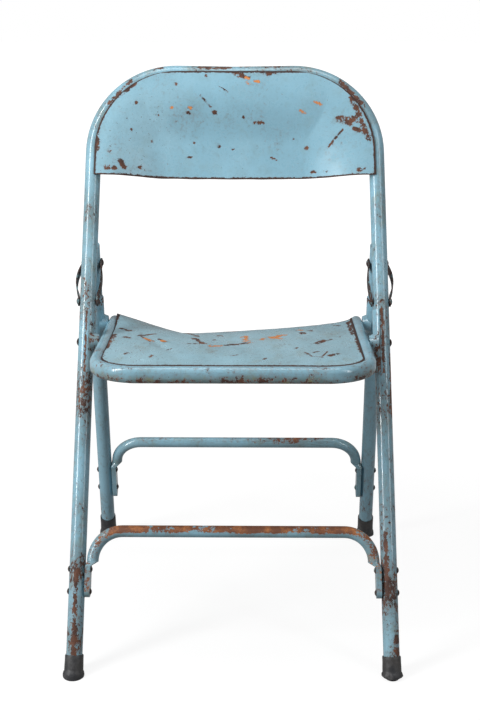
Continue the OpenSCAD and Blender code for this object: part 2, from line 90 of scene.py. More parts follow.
PANEL_SEAM_W = 3.6               # the dirty bands along the seams
PAN_SEAM_W = 3.2
PAN_SEAM_CLEAN = 1.2             # the left seam is cleaner by this much
PAN_SEAM_FRONT = 2               # at the front the band reaches further in, by this
PAN_SEAM_SPREAD = 0.6            # and by this share of its width
PLUG_SHOW = 4                    # how far the plug has worked out of the front right foot
GLOSSY_SHARE = 0.35              # how much of the white surroundings the gloss shows


def ease(t):
    t = min(1.0, max(0.0, t))
    return t * t * (3 - 2 * t)


# ---- From a piece's own plane to the shared frame ----

IN_FRONT = Matrix.Translation((0, SHIFT_Y, 0)) @ Matrix.Rotation(-LEAN, 4, "X")
IN_REAR = Matrix.Translation((0, FOOT_DEPTH + SHIFT_Y, 0)) @ Matrix.Rotation(REAR_LEAN, 4, "X")


def on_leg(plane, side, s, around=0.0):
    """A point on a leg's surface. around is 0 at the front, 90 degrees on the leg's outer side."""
    angle = math.radians(around)
    centre = Vector((LEG_X - s * math.tan(SPLAY), 0, s))
    point = centre + Vector((TUBE_R * math.sin(angle), -TUBE_R * math.cos(angle), 0))
    point.x *= side
    return plane @ point * MM


SEAT_PIVOT = IN_FRONT @ Vector((0, 0, FRONT_PIVOT_S * math.cos(SPLAY)))
IN_SEAT = Matrix.Translation(SEAT_PIVOT) @ Matrix.Rotation(-SEAT_SLOPE, 4, "X")
SEAT_MIDDLE = SEAT_PIVOT * MM
SEAT_UP = IN_SEAT.to_3x3() @ Vector((0, 0, 1))


# ---- Node helpers ----

def add_node(tree, kind, **settings):
    node = tree.nodes.new(kind)
    for name, value in settings.items():
        setattr(node, name, value)
    return node


def feed(tree, socket, value):
    """Joins an output to a socket, or sets the socket's own value."""
    if isinstance(value, bpy.types.NodeSocket):
        tree.links.new(value, socket)
    elif value is not None:
        socket.default_value = value


def calc(tree, operation, a, b=None, clamp=False):
    node = add_node(tree, "ShaderNodeMath", operation=operation, use_clamp=clamp)
    feed(tree, node.inputs[0], a)
    feed(tree, node.inputs[1], b)
    return node.outputs[0]


def calc_vector(tree, operation, a, b=None, result="Vector"):
    node = add_node(tree, "ShaderNodeVectorMath", operation=operation)
    feed(tree, node.inputs[0], a)
    feed(tree, node.inputs[1], b)
    return node.outputs[result]


def noise_at(tree, place, scale, detail=2.0, roughness=0.5, colour=False):
    node = add_node(tree, "ShaderNodeTexNoise")
    feed(tree, node.inputs["Vector"], place)
    feed(tree, node.inputs["Scale"], scale)
    feed(tree, node.inputs["Detail"], detail)
    feed(tree, node.inputs["Roughness"], roughness)
    return node.outputs["Color" if colour else "Fac"]


def between(tree, value, low, high, start=0.0, end=1.0):
    """Turns low..high into start..end, and holds the ends."""
    node = add_node(tree, "ShaderNodeMapRange", clamp=True)
    for socket, v in zip(("Value", "From Min", "From Max", "To Min", "To Max"),
                         (value, low, high, start, end)):
        feed(tree, node.inputs[socket], v)
    return node.outputs["Result"]


def blend_colour(tree, factor, a, b, blend_type="MIX"):
    node = add_node(tree, "ShaderNodeMix", data_type="RGBA", blend_type=blend_type)
    feed(tree, node.inputs[0], factor)
    feed(tree, node.inputs[6], a)
    feed(tree, node.inputs[7], b)
    return node.outputs[2]


def stretched(tree, place, turn, scale):
    node = add_node(tree, "ShaderNodeMapping")
    feed(tree, node.inputs["Vector"], place)
    node.inputs["Rotation"].default_value = turn
    node.inputs["Scale"].default_value = scale
    return node.outputs["Vector"]


def paint_chip(red, green, blue):
    """A finish's colour as a paint maker gives it, 0 to 255, made linear."""
    linear = [c / 12.92 if c <= 0.04045 else ((c + 0.055) / 1.055) ** 2.4
              for c in (red / 255, green / 255, blue / 255)]
    return (*linear, 1.0)


def new_group(name, inputs, outputs):
    """A node group, with {name: (socket type, value)} inputs and {name: socket type} outputs."""
    group = bpy.data.node_groups.new(name, "ShaderNodeTree")
    for label, (kind, value) in inputs.items():
        socket = group.interface.new_socket(label, in_out="INPUT", socket_type=kind)
        if value is not None:
            socket.default_value = value
    for label, kind in outputs.items():
        group.interface.new_socket(label, in_out="OUTPUT", socket_type=kind)
    given = group.nodes.new("NodeGroupInput").outputs
    return group, given, group.nodes.new("NodeGroupOutput").inputs


def place_group(tree, group, **values):
    node = add_node(tree, "ShaderNodeGroup", node_tree=group)
    for label, value in values.items():
        feed(tree, node.inputs[label.replace("_", " ")], value)
    return node.outputs


VALUE, VECTOR, COLOUR = "NodeSocketFloat", "NodeSocketVector", "NodeSocketColor"

# ---- Finishes shared by the materials ----

BLUE = paint_chip(142, 187, 206)
# a paler, lit copy of BLUE for the seat sheet: painted light on its top
BLUE_LIT_SEAT = paint_chip(154, 198, 214)
BLUE_CHALK = paint_chip(168, 198, 208)
BLUE_GRIME = paint_chip(104, 132, 136)
OLIVE_STAIN = paint_chip(128, 130, 96)
RUST_DARK = paint_chip(56, 36, 30)
RUST_BROWN = paint_chip(118, 74, 52)
RUST_ORANGE = paint_chip(206, 132, 74)
BARE_STEEL = paint_chip(96, 98, 98)


def build_rust_group():
    """The colour and grain of a rusted surface. Fresh goes from dark brown to orange."""
    group, given, out = new_group(
        "Rust", {"Place": (VECTOR, None), "Fresh": (VALUE, 0.4)},
        {"Color": COLOUR, "Grain": VALUE})
    broad = noise_at(group, given["Place"], 70, 3)
    fine = noise_at(group, given["Place"], 520, 5, 0.7)
    mixed = calc(group, "ADD", calc(group, "MULTIPLY", broad, 0.6),
                 calc(group, "MULTIPLY", fine, 0.4))
    fresh = calc(group, "ADD", mixed, calc(group, "SUBTRACT", given["Fresh"], 0.5))
    brown = blend_colour(group, between(group, fresh, 0.3, 0.55), RUST_DARK, RUST_BROWN)
    feed(group, out["Color"],
         blend_colour(group, between(group, fresh, 0.6, 0.85), brown, RUST_ORANGE))
    feed(group, out["Grain"], fine)
    return group


def build_spot_group():
    """How near a place is to the line between two points: 1 on the line, 0 at the reach."""
    group, given, out = new_group(
        "Worn spot",
        {"Place": (VECTOR, None), "From": (VECTOR, None), "To": (VECTOR, None),
         "Reach": (VALUE, 0.005)},
        {"Nearness": VALUE})
    along = calc_vector(group, "SUBTRACT", given["To"], given["From"])
    away = calc_vector(group, "SUBTRACT", given["Place"], given["From"])
    length = calc_vector(group, "DOT_PRODUCT", along, along, "Value")
    share = calc(group, "DIVIDE", calc_vector(group, "DOT_PRODUCT", away, along, "Value"),
                 calc(group, "MAXIMUM", length, 1e-9), clamp=True)
    scaled = add_node(group, "ShaderNodeVectorMath", operation="SCALE")
    feed(group, scaled.inputs[0], along)
    feed(group, scaled.inputs["Scale"], share)
    gap = calc_vector(group, "DISTANCE", away, scaled.outputs[0], "Value")
    nearness = calc(group, "SUBTRACT", 1.0, calc(group, "DIVIDE", gap, given["Reach"]))
    feed(group, out["Nearness"], calc(group, "MAXIMUM", nearness, 0.0))
    return group


def build_ragged_group():
    """Moves a place a little this way and that, so that a spot gets a ragged outline."""
    group, given, out = new_group(
        "Ragged outline", {"Place": (VECTOR, None), "Amount": (VALUE, 0.003)}, {"Place": VECTOR})
    swirl = noise_at(group, given["Place"], 230, 4, 0.65, colour=True)
    shift = add_node(group, "ShaderNodeVectorMath", operation="SCALE")
    feed(group, shift.inputs[0], calc_vector(group, "SUBTRACT", swirl, (0.5, 0.5, 0.5)))
    feed(group, shift.inputs["Scale"], given["Amount"])
    feed(group, out["Place"], calc_vector(group, "ADD", given["Place"], shift.outputs[0]))
    return group


def build_paint_group(rust):
    """Old paint: chalky and grimy patches, scratches, and chips down to rust."""
    group, given, out = new_group(
        "Peeling paint",
        {"Place": (VECTOR, None), "Paint": (COLOUR, BLUE), "Chips": (VALUE, 0.3),
         "Spots": (VALUE, 0.0), "Fresh": (VALUE, 0.4), "Grime": (VALUE, 0.3),
         "Scratches": (VALUE, 0.3)},
        {"Color": COLOUR, "Roughness": VALUE, "Height": VALUE, "Bare": VALUE})
    place = given["Place"]

    coarse = noise_at(group, place, 16, 3)
    cloud = noise_at(group, place, 7, 4, 0.6)
    worn = noise_at(group, place, 190, 6, 0.72)
    speckle = noise_at(group, place, 620, 4, 0.7)

    # The chips: a rough pattern, cut where the paint is weak or a spot says so
    pattern = calc(group, "ADD", calc(group, "MULTIPLY", worn, 0.75),
                   calc(group, "MULTIPLY", speckle, 0.25))
    pattern = calc(group, "ADD", pattern,
                   calc(group, "MULTIPLY", calc(group, "SUBTRACT", coarse, 0.5), 0.45))
    limit = calc(group, "SUBTRACT", 0.74, calc(group, "MULTIPLY", given["Chips"], 0.2))
    limit = calc(group, "SUBTRACT", limit, calc(group, "MULTIPLY", given["Spots"], 0.62))
    specks = calc(group, "ADD", noise_at(group, place, 430, 2, 0.5),
                  calc(group, "MULTIPLY", calc(group, "SUBTRACT", cloud, 0.5), 0.35))
    speck_limit = calc(group, "SUBTRACT", 0.765, calc(group, "MULTIPLY", given["Chips"], 0.16))
    bare = calc(group, "MAXIMUM",
                between(group, pattern, limit, calc(group, "ADD", limit, 0.02)),
                between(group, specks, speck_limit, calc(group, "ADD", speck_limit, 0.03)))
    near = between(group, pattern, calc(group, "SUBTRACT", limit, 0.035), limit)
    stain = between(group, pattern, calc(group, "SUBTRACT", limit, 0.13), limit)

    # The paint itself
    tone = blend_colour(group, between(group, cloud, 0.42, 0.72, 0.0, 0.4), given["Paint"],
                        BLUE_CHALK)
    # grimy patches; on the rim's lower edge this grime also carries painted shade
    dirt_and_shade = calc(group, "MULTIPLY", between(group, coarse, 0.3, 0.75), given["Grime"], clamp=True)
    tone = blend_colour(group, dirt_and_shade, tone, BLUE_GRIME)
    olive = between(group, noise_at(group, place, 44, 4, 0.65), 0.54, 0.7, 0.0, 0.55)
    tone = blend_colour(group, calc(group, "MULTIPLY", olive, given["Grime"]), tone, OLIVE_STAIN)
    film = noise_at(group, place, 95, 5, 0.7)
    tone = blend_colour(group, calc(group, "MULTIPLY", between(group, film, 0.5, 0.8), 0.3),
                        tone, BLUE_GRIME)

    # Fine scratches in two directions
    marks = None
    for turn, size in (((0.3, 0.6, 0.2), (900, 900, 45)), ((0.2, -0.9, 0.1), (1300, 1300, 60)),
                       ((0.9, 0.2, 1.2), (50, 1100, 1100))):
        lines = noise_at(group, stretched(group, place, turn, size), 1.0, 1.5)
        cut = between(group, lines, 0.735, 0.76)
        marks = cut if marks is None else calc(group, "MAXIMUM", marks, cut)
    patches = between(group, noise_at(group, place, 24, 2), 0.46, 0.6)
    marks = calc(group, "MULTIPLY", calc(group, "MULTIPLY", marks, patches), given["Scratches"])
    tone = blend_colour(group, calc(group, "MULTIPLY", marks, 0.75), tone, RUST_BROWN)

    # Rust that bleeds into the paint, then the chip's edge, then the bare rust
    tone = blend_colour(group, calc(group, "MULTIPLY", stain, 0.28), tone, RUST_BROWN)
    tone = blend_colour(group, calc(group, "MULTIPLY", near, 0.35), tone, BLUE_CHALK)
    rusted = place_group(group, rust, Place=place, Fresh=given["Fresh"])
    feed(group, out["Color"], blend_colour(group, bare, tone, rusted["Color"]))

    gloss = between(group, film, 0.3, 0.8, 0.1, 0.32)
    feed(group, out["Roughness"],
         calc(group, "ADD", gloss, calc(group, "MULTIPLY", bare, 0.42), clamp=True))
    relief = calc(group, "SUBTRACT", calc(group, "MULTIPLY", film, 0.10), bare)
    relief = calc(group, "ADD", relief, calc(
        group, "MULTIPLY", calc(group, "MULTIPLY", rusted["Grain"], bare), 0.7))
    relief = calc(group, "SUBTRACT", relief, calc(group, "MULTIPLY", marks, 0.3))
    feed(group, out["Height"], relief)
    feed(group, out["Bare"], bare)
    return group


RUST = build_rust_group()
SPOT = build_spot_group()
RAGGED = build_ragged_group()
PAINT = build_paint_group(RUST)


def nearest_spot(tree, place, spots):
    """The greatest nearness to any of the spots, each (from, to, reach in mm), points in metres."""
    nearest = None
    for start, end, reach in spots:
        near = place_group(tree, SPOT, Place=place, From=tuple(start), To=tuple(end),
                           Reach=reach * MM)["Nearness"]
        nearest = near if nearest is None else calc(tree, "MAXIMUM", nearest, near)
    return nearest


def new_material(name):
    """An empty material: its node tree, its Principled node and its own coordinates."""
    material = bpy.data.materials.new(name)
    material.use_nodes = True
    tree = material.node_tree
    tree.nodes.clear()
    shader = add_node(tree, "ShaderNodeBsdfPrincipled")
    end = add_node(tree, "ShaderNodeOutputMaterial")
    tree.links.new(shader.outputs["BSDF"], end.inputs["Surface"])
    return material, tree, shader, add_node(tree, "ShaderNodeTexCoord").outputs


def add_relief(tree, shader, height, strength, depth):
    bump = add_node(tree, "ShaderNodeBump")
    bump.inputs["Strength"].default_value = strength
    bump.inputs["Distance"].default_value = depth
    feed(tree, bump.inputs["Height"], height)
    feed(tree, shader.inputs["Normal"], bump.outputs["Normal"])


def greatest(tree, *values):
    most = values[0]
    for value in values[1:]:
        most = calc(tree, "MAXIMUM", most, value)
    return most


def attribute(tree, name):
    return add_node(tree, "ShaderNodeAttribute", attribute_name=name).outputs["Fac"]


def painted(name, chips=0.3, grime_and_shade=0.3, scratches=0.3, fresh=0.4, wear=None,
            grain=(1, 1, 1), paint=BLUE, dull=0.0):
    """Chipped paint. wear makes extra wear, rust freshness, and grime that holds painted shade on
    the rim.
    A grain below 1 draws the chips out along its axis, and above 1 makes them finer. dull takes
    away gloss."""
    # paint is the base colour; the seat sheet's is a paler, lit copy: painted light
    material, tree, shader, coordinates = new_material(name)
    place = coordinates["Object"]
    amount = 0.0
    if wear:
        amount, fresh, grime_and_shade = wear(tree, coordinates, fresh, grime_and_shade)
    finish = place_group(tree, PAINT, Place=stretched(tree, place, (0, 0, 0), grain),
                         Paint=paint, Chips=chips, Spots=amount, Fresh=fresh, Grime=grime_and_shade,
                         Scratches=scratches)
    feed(tree, shader.inputs["Base Color"], finish["Color"])
    feed(tree, shader.inputs["Roughness"], calc(tree, "ADD", finish["Roughness"], dull))
    add_relief(tree, shader, finish["Height"], strength=0.55, depth=0.0006)
    return material


def sheet_wear(grain):
    """Rust along a sheet's seam and at its marks. The bright marks are orange."""
    def wear(tree, coordinates, fresh, grime_and_shade):
        place = stretched(tree, coordinates["Object"], (0, 0, 0), grain)
        broken = between(tree, noise_at(tree, place, 60, 4, 0.7), 0.3, 0.5, 0.55, 1.3)
        flaky = between(tree, noise_at(tree, place, 150, 5, 0.7), 0.36, 0.6, 0.15, 1.0)
        seam = attribute(tree, "seam")
        bright = calc(tree, "MULTIPLY", attribute(tree, "bright"), flaky)
        amount = greatest(tree, calc(tree, "MULTIPLY", seam, broken),
                          calc(tree, "MULTIPLY", attribute(tree, "worn"), flaky), bright)
        aged = calc(tree, "SUBTRACT", fresh, calc(tree, "MULTIPLY", seam, 0.3))
        orange = between(tree, bright, 0.05, 0.25, 0.0, 0.95)
        return amount, calc(tree, "MAXIMUM", aged, orange), grime_and_shade
    return wear


def rust_up_leg(tree, height, levels):
    """The amount of rust up a leg, from (height in metres, amount) pairs."""
    node = add_node(tree, "ShaderNodeValToRGB")
    ramp = node.color_ramp
    top = levels[-1][0]
    while len(ramp.elements) < len(levels):
        ramp.elements.new(1.0)
    for element, (z, amount) in zip(ramp.elements, levels):
        element.position = z / top
        element.color = (amount, amount, amount, 1)
    feed(tree, node.inputs["Fac"], calc(tree, "DIVIDE", height, top))
    return node.outputs["Color"]


def leg_wear(left, right, spots=()):
    """Rust that changes up the left and the right leg, and at a few spots."""
    def wear(tree, coordinates, fresh, grime_and_shade):
        place = coordinates["Object"]
        axes = add_node(tree, "ShaderNodeSeparateXYZ")
        feed(tree, axes.inputs[0], place)
        on_right = calc(tree, "GREATER_THAN", axes.outputs["X"], 0.0)
        amount = blend_colour(tree, on_right, rust_up_leg(tree, axes.outputs["Z"], left),
                              rust_up_leg(tree, axes.outputs["Z"], right))
        ragged = place_group(tree, RAGGED, Place=place, Amount=0.006)["Place"]
        if spots:
            flaky = between(tree, noise_at(tree, place, 110, 5, 0.7), 0.36, 0.6, 0.1, 1.0)
            near = calc(tree, "MULTIPLY", nearest_spot(tree, ragged, spots), flaky)
            amount = greatest(tree, amount, near)
        return amount, fresh, grime_and_shade
    return wear


def top_wear(strength):
    """Rust on the faces that look up, where feet rub the paint off, and less at the bends."""
    def wear(tree, coordinates, fresh, grime_and_shade):
        place = coordinates["Object"]
        up = add_node(tree, "ShaderNodeSeparateXYZ")
        feed(tree, up.inputs[0], coordinates["Normal"])
        patches = between(tree, noise_at(tree, place, 28, 5, 0.7), 0.3, 0.62)
        top = calc(tree, "MULTIPLY", between(tree, up.outputs["Z"], -0.1, 0.45), patches)
        across = add_node(tree, "ShaderNodeSeparateXYZ")
        feed(tree, across.inputs[0], place)
        bend = between(tree, calc(tree, "ABSOLUTE", across.outputs["X"]), 0.12, 0.17, 1.0, 0.45)
        top = calc(tree, "MULTIPLY", top, bend)
        return calc(tree, "MULTIPLY", top, strength), fresh, grime_and_shade
    return wear


def rim_wear(tree, coordinates, fresh, grime_and_shade):
    """Pits and rust along the rim's lower edge, and grime colour thickening towards it as painted
    shade.
    """
    place = coordinates["Object"]
    up = calc_vector(tree, "DOT_PRODUCT", calc_vector(tree, "SUBTRACT", place, tuple(SEAT_MIDDLE)),
                     tuple(SEAT_UP), "Value")
    low = between(tree, up, 0.0, -0.008)
    flaky = between(tree, noise_at(tree, place, 100, 5, 0.75), 0.38, 0.62, 0.0, 0.42)
    pits = between(tree, noise_at(tree, place, 36, 2), 0.46, 0.66, 0.0, 0.16)
    amount = greatest(tree, calc(tree, "MULTIPLY", low, flaky), pits)
    # the grime rises towards the lower edge: painted shade on the rim's underside
    return amount, fresh, calc(tree, "ADD", grime_and_shade, calc(tree, "MULTIPLY", low, 2.0))


# ---- Making pieces ----

def finish_piece(name, bm, material, body, replaced, sharp=35):
    mesh = bpy.data.meshes.new(name)
    bm.to_mesh(mesh)
    bm.free()
    mesh.shade_smooth()
    mesh.set_sharp_from_angle(angle=math.radians(sharp))
    mesh.materials.append(material)
    piece = bpy.data.objects.new(name, mesh)
    bpy.context.collection.objects.link(piece)
    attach(piece, body)
    if replaced:
        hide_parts(*replaced)
    return piece


def record_seam(piece, to_plane, edge_at, width):
    """Writes how near each point is to its sheet's edge: 1 at the edge, 0 at width and beyond."""
    seam = piece.data.attributes.new("seam", "FLOAT", "POINT")
    for vertex, value in zip(piece.data.vertices, seam.data):
        x, y, z = to_plane @ (vertex.co / MM)
        value.value = max(0.0, 1.0 - max(0.0, edge_at(x, y, z)) / width)


def record_marks(piece, name, marks):
    """Writes how near each point is to a mark: 1 on the mark's line, 0 at its reach."""
    points = np.array([vertex.co for vertex in piece.data.vertices])
    nearness = np.zeros(len(points))
    for start, end, reach in marks:
        line = np.array(end - start)
        away = points - np.array(start)
        share = np.clip(away @ line / max(line @ line, 1e-12), 0, 1)
        gap = np.linalg.norm(away - share[:, None] * line, axis=1)
        nearness = np.maximum(nearness, 1 - gap / (reach * MM))
    piece.data.attributes.new(name, "FLOAT", "POINT").data.foreach_set("value", nearness)


# ---- Back panel ----

def panel_half(s):
    if s < CORNER_S + HOOP_R * math.sin(SPLAY):
        return LEG_X - PANEL_INSET - s * math.tan(SPLAY)
    return CORNER_X - PANEL_INSET + math.sqrt(max(0.0, HOOP_R ** 2 - (s - CORNER_S) ** 2))


def panel_edge(x, s):
    return min(panel_half(s) - abs(x), HOOP_TOP_S - s)


def panel_hollow(x, s):
    low = (HOOP_TOP_S - s) / (HOOP_TOP_S - PANEL_BOTTOM_S)
    inward = ease((panel_edge(x, s) - TUBE_R - 1) / PANEL_HOLLOW_RUN)
    depth = PANEL_HOLLOW * inward * max(0.0, low) ** 0.8
    return depth * (1 - PANEL_HOLLOW_FADE * (x / panel_half(s)) ** 2)


def panel_point(x, s):
    """A point on the panel's front face."""
    return IN_FRONT @ Vector((x, PANEL_SEAT_Y - SHEET_T + panel_hollow(x, s), s)) * MM


def panel_ripple(x, s):
    """Shallow dents in the sheet, which fade out at the tube it is joined to."""
    inside = ease((panel_edge(x, s) - 14) / 30)
    broad = noise.noise(Vector((x / 70, s / 46, 2.1)))
    small = noise.noise(Vector((x / 21, s / 17, 7.4)))
    return inside * (1.1 * broad + 0.3 * small)


def make_back_panel(material):
    bm = bmesh.new()
    bmesh.ops.create_grid(bm, x_segments=240, y_segments=90, size=1)
    for vertex in bm.verts:
        across, up = vertex.co.x, (vertex.co.y + 1) / 2
        down = (1 - up) ** 1.25
        s = HOOP_TOP_S - (HOOP_TOP_S - PANEL_BOTTOM_S) * down
        x = across * panel_half(s)
        wave = 0.5 * noise.noise(Vector((x / 24, 3.3, 0))) * down ** 6
        dip = PANEL_DIP * (1 - across ** 2) * down ** (4 / 1.25)
        y = PANEL_SEAT_Y - SHEET_T + panel_hollow(x, s) + panel_ripple(x, s)
        vertex.co = IN_FRONT @ Vector((x, y, s - dip + wave)) * MM
    bmesh.ops.recalc_face_normals(bm, faces=bm.faces)
    if sum((face.normal.y for face in bm.faces)) > 0:
        bmesh.ops.reverse_faces(bm, faces=bm.faces)
    bmesh.ops.solidify(bm, geom=bm.faces, thickness=SHEET_T * MM)
    piece = finish_piece("back_panel_sheet", bm, material, "frame", ["back_panel"])
    record_seam(piece, IN_FRONT.inverted(),
                lambda x, y, s: min(panel_edge(x, s), s - PANEL_BOTTOM_S + 1), PANEL_SEAM_W)
    return piece


# ---- Seat pan ----

def pan_half_at(y):
    d = PAN_FRONT + PAN_CORNER_R - y
    if d <= 0:
        return PAN_HALF
    return PAN_HALF - PAN_CORNER_R + math.sqrt(max(0.0, PAN_CORNER_R ** 2 - d * d))


def pan_corner(x, y):
    """How far a point belongs to the torn corner: 1 at its tip, 0 outside it."""
    return max(0.0, 1 - (x + PAN_HALF) / VALLEY_W - (PAN_BACK - y) / FLAP_DEPTH)


def pan_lift(x, y):
    start = -PAN_HALF + VALLEY_DRIFT * (PAN_BACK - y)
    bottom = start + VALLEY_W
    if x < bottom:
        across = (x - start) / VALLEY_W
    else:
        across = math.sqrt(max(0.0, PAN_HALF - x) / (PAN_HALF - bottom))
    rounded = across - VALLEY_ROUND * math.exp(-((x - bottom) / VALLEY_ROUND_W) ** 2)
    along = max(0.0, (y - PAN_FRONT) / (PAN_BACK - PAN_FRONT))
    return FLAP_LIFT * pan_corner(x, y) - PAN_SAG * max(0.0, rounded) * along ** PAN_SAG_POWER


def pan_edge(x, y):
    return min(pan_half_at(y) - abs(x), y - PAN_FRONT + 0.5 * max(0.0, abs(x) - 140), PAN_BACK - y)


def pan_seam(x, y):
    """How far a point is from the seam, less at the front, where the rim stands in its way."""
    in_x = max(0.0, abs(x) - PAN_HALF + PAN_CORNER_R)
    in_y = max(0.0, PAN_FRONT + PAN_CORNER_R - y)
    clean = PAN_SEAM_CLEAN if x < 0 else 0.0
    if in_y <= 0:
        return min(PAN_HALF - abs(x) + clean, PAN_BACK - y)
    reach = math.hypot(in_x, in_y)
    front = in_y / reach
    inside = (PAN_CORNER_R - reach) * (1 - PAN_SEAM_SPREAD * front)
    return inside - PAN_SEAM_FRONT * front + clean * (1 - front)


def pan_dents(x, y):
    """The dents of long use, which fade out at the rim."""
    inside = ease((pan_edge(x, y) - 5) / 32)
    broad = noise.noise(Vector((x / 64, y / 60, 5.2)))
    small = noise.noise(Vector((x / 20, y / 24, 1.4)))
    fold = x + PAN_HALF - VALLEY_DRIFT * (PAN_BACK - y)
    crease = math.exp(-((fold - 6) / 8) ** 2) * ease(1 - abs(y + 20) / 90)
    return inside * (1.3 * broad + 0.4 * small - PAN_CREASE * crease)


def pan_point(x, y):
    """A point on the seat's top face."""
    return IN_SEAT @ Vector((x, y, PAN_TOP + pan_lift(x, y) + pan_dents(x, y))) * MM


def make_seat_pan(material):
    bm = bmesh.new()
    bmesh.ops.create_grid(bm, x_segments=190, y_segments=165, size=1)
    for vertex in bm.verts:
        t = (vertex.co.y + 1) / 2
        y = PAN_FRONT + (PAN_BACK - PAN_FRONT) * (0.35 * t + 0.65 * t ** 1.6)
        x = vertex.co.x * pan_half_at(y)
        back = ease((t - 0.9) / 0.1)
        ragged = 1.2 * back * noise.noise(Vector((x / 13, 8.8, 0)))
        height = PAN_TOP + pan_lift(x, y) + pan_dents(x, y)
        x -= FLAP_OUT * pan_corner(x, y)
        vertex.co = IN_SEAT @ Vector((x, y + ragged, height)) * MM
    bmesh.ops.recalc_face_normals(bm, faces=bm.faces)
    if sum((face.normal.z for face in bm.faces)) < 0:
        bmesh.ops.reverse_faces(bm, faces=bm.faces)
    bmesh.ops.solidify(bm, geom=bm.faces, thickness=SHEET_T * MM)
    piece = finish_piece("seat_pan_sheet", bm, material, "seat", ["seat_pan"])
    record_seam(piece, IN_SEAT.inverted(), lambda x, y, z: pan_seam(x, y), PAN_SEAM_W)
    return piece


# ---- Rubber caps ----

# Radius and height of each point, up from the tube's end. The first two lie below the floor,
# where the cap is cut off level.
CAP_PROFILE = ((0.01, -TUBE_R), (11.6, -TUBE_R), (14.5, 0.8), (14.6, 3.0), (13.9, 6.2),
               (12.9, 7.6), (12.75, 14.0), (12.6, 20.0))
CAP_TOP_R, CAP_TOP_ROUND = 12.6, 1.2
CAP_MOUTH_R, CAP_BORE_R = 12.0, 11.1
CAP_BORE_DEPTH = 4
CAP_LIP_Z = 3                    # the lip's height, and how far its tears reach up and down
CAP_LIP_REACH = 5
FRONT_CAP_H = 28
REAR_CAP_H = 40


def make_cap(name, plane, side, height, level, torn, material, body, node):
    """A moulded cap on a tube's end, cut level with the floor, with a lip that has torn in use."""
    bm = bmesh.new()
    mouth = ((CAP_TOP_R, height - CAP_TOP_ROUND), (CAP_MOUTH_R, height),
             (CAP_BORE_R, height), (CAP_BORE_R, height - CAP_BORE_DEPTH))
    chain = [bm.verts.new((r, 0, z)) for r, z in CAP_PROFILE + mouth]
    edges = [bm.edges.new(pair) for pair in zip(chain, chain[1:])]
    bmesh.ops.spin(bm, geom=chain + edges, cent=(0, 0, 0), axis=(0, 0, 1), dvec=(0, 0, 0),
                   angle=math.tau, steps=56, use_merge=True, use_duplicate=False)
    bmesh.ops.remove_doubles(bm, verts=bm.verts, dist=0.02)
    bmesh.ops.subdivide_edges(bm, edges=[e for e in bm.edges if e.calc_length() > 4], cuts=2,
                              use_grid_fill=True)
    for vertex in bm.verts:
        x, y, z = vertex.co
        angle = math.atan2(y, x)
        rough = noise.noise(Vector((2.3 * math.cos(angle), 2.3 * math.sin(angle), z / 9 + side)))
        lip = ease(1 - abs(z - CAP_LIP_Z) / CAP_LIP_REACH)
        swell = 1 + 0.012 * rough + torn * lip * 0.05 * noise.noise(
            Vector((6 * math.cos(angle), 6 * math.sin(angle), side * 4.1)))
        vertex.co = Vector((x * swell, y * swell, z + 0.5 * rough * ease((z - height + 6) / 6)))
    leg = Matrix.Translation((LEG_X, 0, 0)) @ Matrix.Rotation(-SPLAY, 4, "Y")
    for vertex in bm.verts:
        place = plane @ (leg @ vertex.co)
        vertex.co = Vector((place.x * side, place.y, place.z)) * MM
    cut = bmesh.ops.bisect_plane(bm, geom=bm.verts[:] + bm.edges[:] + bm.faces[:],
                                 plane_co=(0, 0, level * MM), plane_no=(0, 0, -1),
                                 clear_outer=True)
    rim = [e for e in cut["geom_cut"] if isinstance(e, bmesh.types.BMEdge)]
    bmesh.ops.holes_fill(bm, edges=rim)
    bmesh.ops.recalc_face_normals(bm, faces=bm.faces)
    return finish_piece(name, bm, material, body, [node], 50)


# ---- Where each piece is chipped and rusted ----

def panel_marks(marks):
    """Each mark is (x, s) to (x, s) with its reach, on the panel's front face."""
    return [(panel_point(x0, s0), panel_point(x1, s1), reach) for x0, s0, x1, s1, reach in marks]


def seat_marks(marks):
    """Each mark is (x, y) to (x, y) with its reach, on the seat sheet's top face."""
    return [(pan_point(x0, y0), pan_point(x1, y1), reach) for x0, y0, x1, y1, reach in marks]


def leg_marks(plane, marks):
    """Each mark is side, s to s, the angles around the leg at both ends, and its reach."""
    return [(on_leg(plane, side, s0, a0), on_leg(plane, side, s1, a1), reach)
            for side, s0, s1, a0, a1, reach in marks]


PANEL_DARK = panel_marks([
    (-166, 800, -144, 818, 5), (-196, 772, -196, 724, 6), (166, 798, 192, 734, 6),
    (-57, 838, -14, 838, 5), (-4, 836, 18, 826, 6), (45, 832, 60, 838, 6),
    (28, 764, 41, 764, 3), (148, 768, 162, 762, 8), (165, 766, 178, 766, 7),
    (170, 752, 176, 750, 5), (133, 728, 154, 752, 2.5), (102, 728, 102, 729, 5),
    (-29, 778, -28, 776, 5), (-50, 802, -30, 779, 2), (-67, 777, -66, 776, 3.5),
    (-112, 774, -111, 773, 3.5), (-166, 784, -165, 784, 3.5), (-142, 790, -141, 790, 4),
    (-84, 818, -84, 817, 3.5), (-42, 830, -41, 830, 3.5), (-59, 736, -58, 736, 3),
    (-23, 731, -22, 731, 3), (-4, 727, -2, 727, 3), (-67, 716, -62, 715, 2.5),
    (-179, 719, -178, 719, 4), (-24, 815, -10, 806, 1.6), (-22, 808, -12, 801, 1.6),
    (-183, 696, -170, 695, 5), (-163, 706, -157, 697, 5), (-137, 699, -135, 699, 4),
    (110, 694, 116, 694, 4), (127, 693, 131, 693, 4), (176, 693, 184, 694, 5),
    (52, 716, 60, 712, 2), (84, 742, 85, 741, 2.5), (12, 772, 13, 770, 2.5),
    (-120, 738, -118, 736, 2.5), (-148, 752, -147, 748, 3), (66, 804, 68, 803, 2.5),
])
PANEL_BRIGHT = panel_marks([
    (18, 821, 20, 819, 5), (28, 822, 34, 821, 3), (114, 793, 123, 788, 3.5),
    (93, 780, 101, 777, 3.5), (-65, 785, -64, 784, 4), (16, 826, 20, 824, 4),
    (-91, 784, -90, 784, 3),
])
